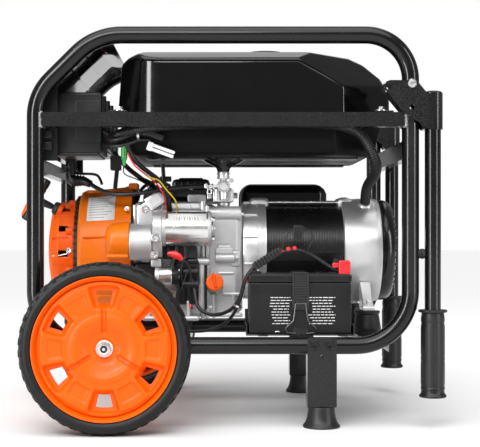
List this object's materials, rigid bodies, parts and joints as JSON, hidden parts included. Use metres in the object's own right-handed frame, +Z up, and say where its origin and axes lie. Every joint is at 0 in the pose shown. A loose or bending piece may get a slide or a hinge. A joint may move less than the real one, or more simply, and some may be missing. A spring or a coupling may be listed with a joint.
{
  "type": "portable generator",
  "caption": "Open-frame portable generator on wheels: air-cooled engine with recoil and electric start, alternator, fuel tank, battery and folding carrying handles.",
  "frame": {"origin": "centre of the machine's outline on the floor", "axes": "+X from the recoil starter towards the carrying handles, +Y from the battery side to the exhaust side, +Z up"},
  "size_m": [0.7732, 0.692, 0.6985],
  "materials": {
    "black_frame_paint": "semi-gloss black powder coat",
    "black_tank_paint": "gloss black paint",
    "panel_paint": "satin black paint",
    "orange_plastic": "moulded orange plastic",
    "orange_paint": "gloss orange paint",
    "tyre_rubber": "moulded black tyre rubber",
    "black_rubber": "soft black rubber",
    "black_plastic": "textured black plastic",
    "cast_aluminium": "die-cast, lightly blasted",
    "bright_aluminium": "machined and brushed",
    "zinc_steel": "zinc plated",
    "dark_steel": "oiled forged steel",
    "stator_paint": "semi-gloss black paint",
    "battery_plastic": "satin dark grey plastic"
  },
  "bodies": {
    "machine": {"front_frame_loop": "black_frame_paint", "rear_frame_loop": "black_frame_paint", "crossbars": "black_frame_paint", "mount_rails": "black_frame_paint", "front_leg": "black_frame_paint", "rear_leg": "black_frame_paint", "feet": "black_rubber", "frame_bolts": "zinc_steel", "axle_nuts": "zinc_steel", "handle_bumpers": "black_rubber", "front_axle_bracket": "black_frame_paint", "rear_axle_bracket": "black_frame_paint", "fuel_tank": "black_tank_paint", "fuel_valve": "cast_aluminium", "control_panel": "panel_paint", "control_box": "black_plastic", "outlet_sockets": "black_plastic", "recoil_cover": "orange_paint", "blower_housing": "orange_paint", "crankcase": "cast_aluminium", "crankcase_cover": "cast_aluminium", "cylinder": "cast_aluminium", "muffler": "black_frame_paint", "air_cleaner": "black_plastic", "carburetor": "cast_aluminium", "starter_motor": "zinc_steel", "starter_relay": "zinc_steel", "voltage_regulator": "bright_aluminium", "alternator_front_housing": "bright_aluminium", "stator": "stator_paint", "alternator_rear_housing": "bright_aluminium", "alternator_end_cover": "black_plastic", "tie_rods": "zinc_steel", "rubber_mounts": "black_rubber", "battery": "battery_plastic", "battery_tray": "black_frame_paint", "battery_strap": "black_rubber", "fuel_hose": "black_rubber", "wiring_conduit": "black_plastic", "battery_lead": "black_rubber"},
    "front_wheel": {"front_wheel_rim": "orange_plastic", "front_tyre": "tyre_rubber"},
    "rear_wheel": {"rear_wheel_rim": "orange_plastic", "rear_tyre": "tyre_rubber"},
    "front_carry_handle": {"front_handle": "black_frame_paint", "front_handle_grip": "black_rubber"},
    "rear_carry_handle": {"rear_handle": "black_frame_paint", "rear_handle_grip": "black_rubber"},
    "pull_grip": {"recoil_grip": "black_plastic"},
    "rope_reel": {"recoil_reel": "black_plastic"},
    "crank": {"crankshaft": "dark_steel", "flywheel": "dark_steel", "rotor": "dark_steel"},
    "cam": {"camshaft": "dark_steel"},
    "tank_cap": {"fuel_cap": "black_plastic"},
    "valve_lever": {"fuel_valve_lever": "zinc_steel"},
    "oil_cap": {"oil_filler_cap": "orange_plastic"},
    "choke": {"choke_lever": "black_plastic"},
    "switch": {"engine_switch": "black_plastic"},
    "breaker": {"breaker_button": "black_plastic"}
  },
  "joints": [
    {"name": "front_wheel_spin", "type": "hinge", "parent": "machine", "child": "front_wheel", "pos_m": [-0.203, -0.3135, 0.145], "axis": [0, 1, 0], "continuous": true},
    {"name": "rear_wheel_spin", "type": "hinge", "parent": "machine", "child": "rear_wheel", "pos_m": [-0.203, 0.3135, 0.145], "axis": [0, 1, 0], "continuous": true},
    {"name": "front_handle_fold", "type": "hinge", "parent": "machine", "child": "front_carry_handle", "pos_m": [0.3225, -0.235, 0.597], "axis": [0, -1, 0], "range_deg": [0, 81]},
    {"name": "rear_handle_fold", "type": "hinge", "parent": "machine", "child": "rear_carry_handle", "pos_m": [0.3225, 0.235, 0.597], "axis": [0, -1, 0], "range_deg": [0, 81]},
    {"name": "starter_pull", "type": "slide", "parent": "machine", "child": "pull_grip", "axis": [-0.917, 0, 0.399], "range_m": [0, 0.6], "stiffness_N_per_m": 12, "springref_m": -0.3},
    {"name": "reel_turn", "type": "hinge", "parent": "machine", "child": "rope_reel", "pos_m": [-0.3095, 0, 0.306], "axis": [1, 0, 0], "range_deg": [0, 600]},
    {"name": "crank_spin", "type": "hinge", "parent": "machine", "child": "crank", "pos_m": [0.0155, 0, 0.306], "axis": [1, 0, 0], "continuous": true},
    {"name": "cam_spin", "type": "hinge", "parent": "machine", "child": "cam", "pos_m": [-0.0605, 0.03, 0.241], "axis": [1, 0, 0], "continuous": true},
    {"name": "fuel_cap_turn", "type": "hinge", "parent": "machine", "child": "tank_cap", "pos_m": [0.0795, 0, 0.682], "axis": [0, 0, 1], "range_deg": [0, 90]},
    {"name": "fuel_valve_turn", "type": "hinge", "parent": "machine", "child": "valve_lever", "pos_m": [-0.0025, -0.111, 0.425], "axis": [0, -1, 0], "range_deg": [0, 90]},
    {"name": "oil_cap_turn", "type": "hinge", "parent": "machine", "child": "oil_cap", "pos_m": [-0.0185, -0.124, 0.247], "axis": [0, -0.9701, 0.2425], "range_deg": [0, 270]},
    {"name": "choke_move", "type": "hinge", "parent": "machine", "child": "choke", "pos_m": [-0.0015, -0.064, 0.414], "axis": [0, 1, 0], "range_deg": [0, 40]},
    {"name": "engine_switch_rock", "type": "hinge", "parent": "machine", "child": "switch", "pos_m": [-0.3005, -0.146, 0.552], "axis": [0, 1, 0], "range_deg": [0, 20]},
    {"name": "breaker_push", "type": "slide", "parent": "machine", "child": "breaker", "axis": [1, 0, 0], "range_m": [0, 0.003], "stiffness_N_per_m": 300, "springref_m": -0.002}
  ],
  "couplings": [
    {"joint": "reel_turn", "follows": "starter_pull", "rad_per_m": 17.241},
    {"joint": "cam_spin", "follows": "crank_spin", "ratio": -0.5}
  ]
}
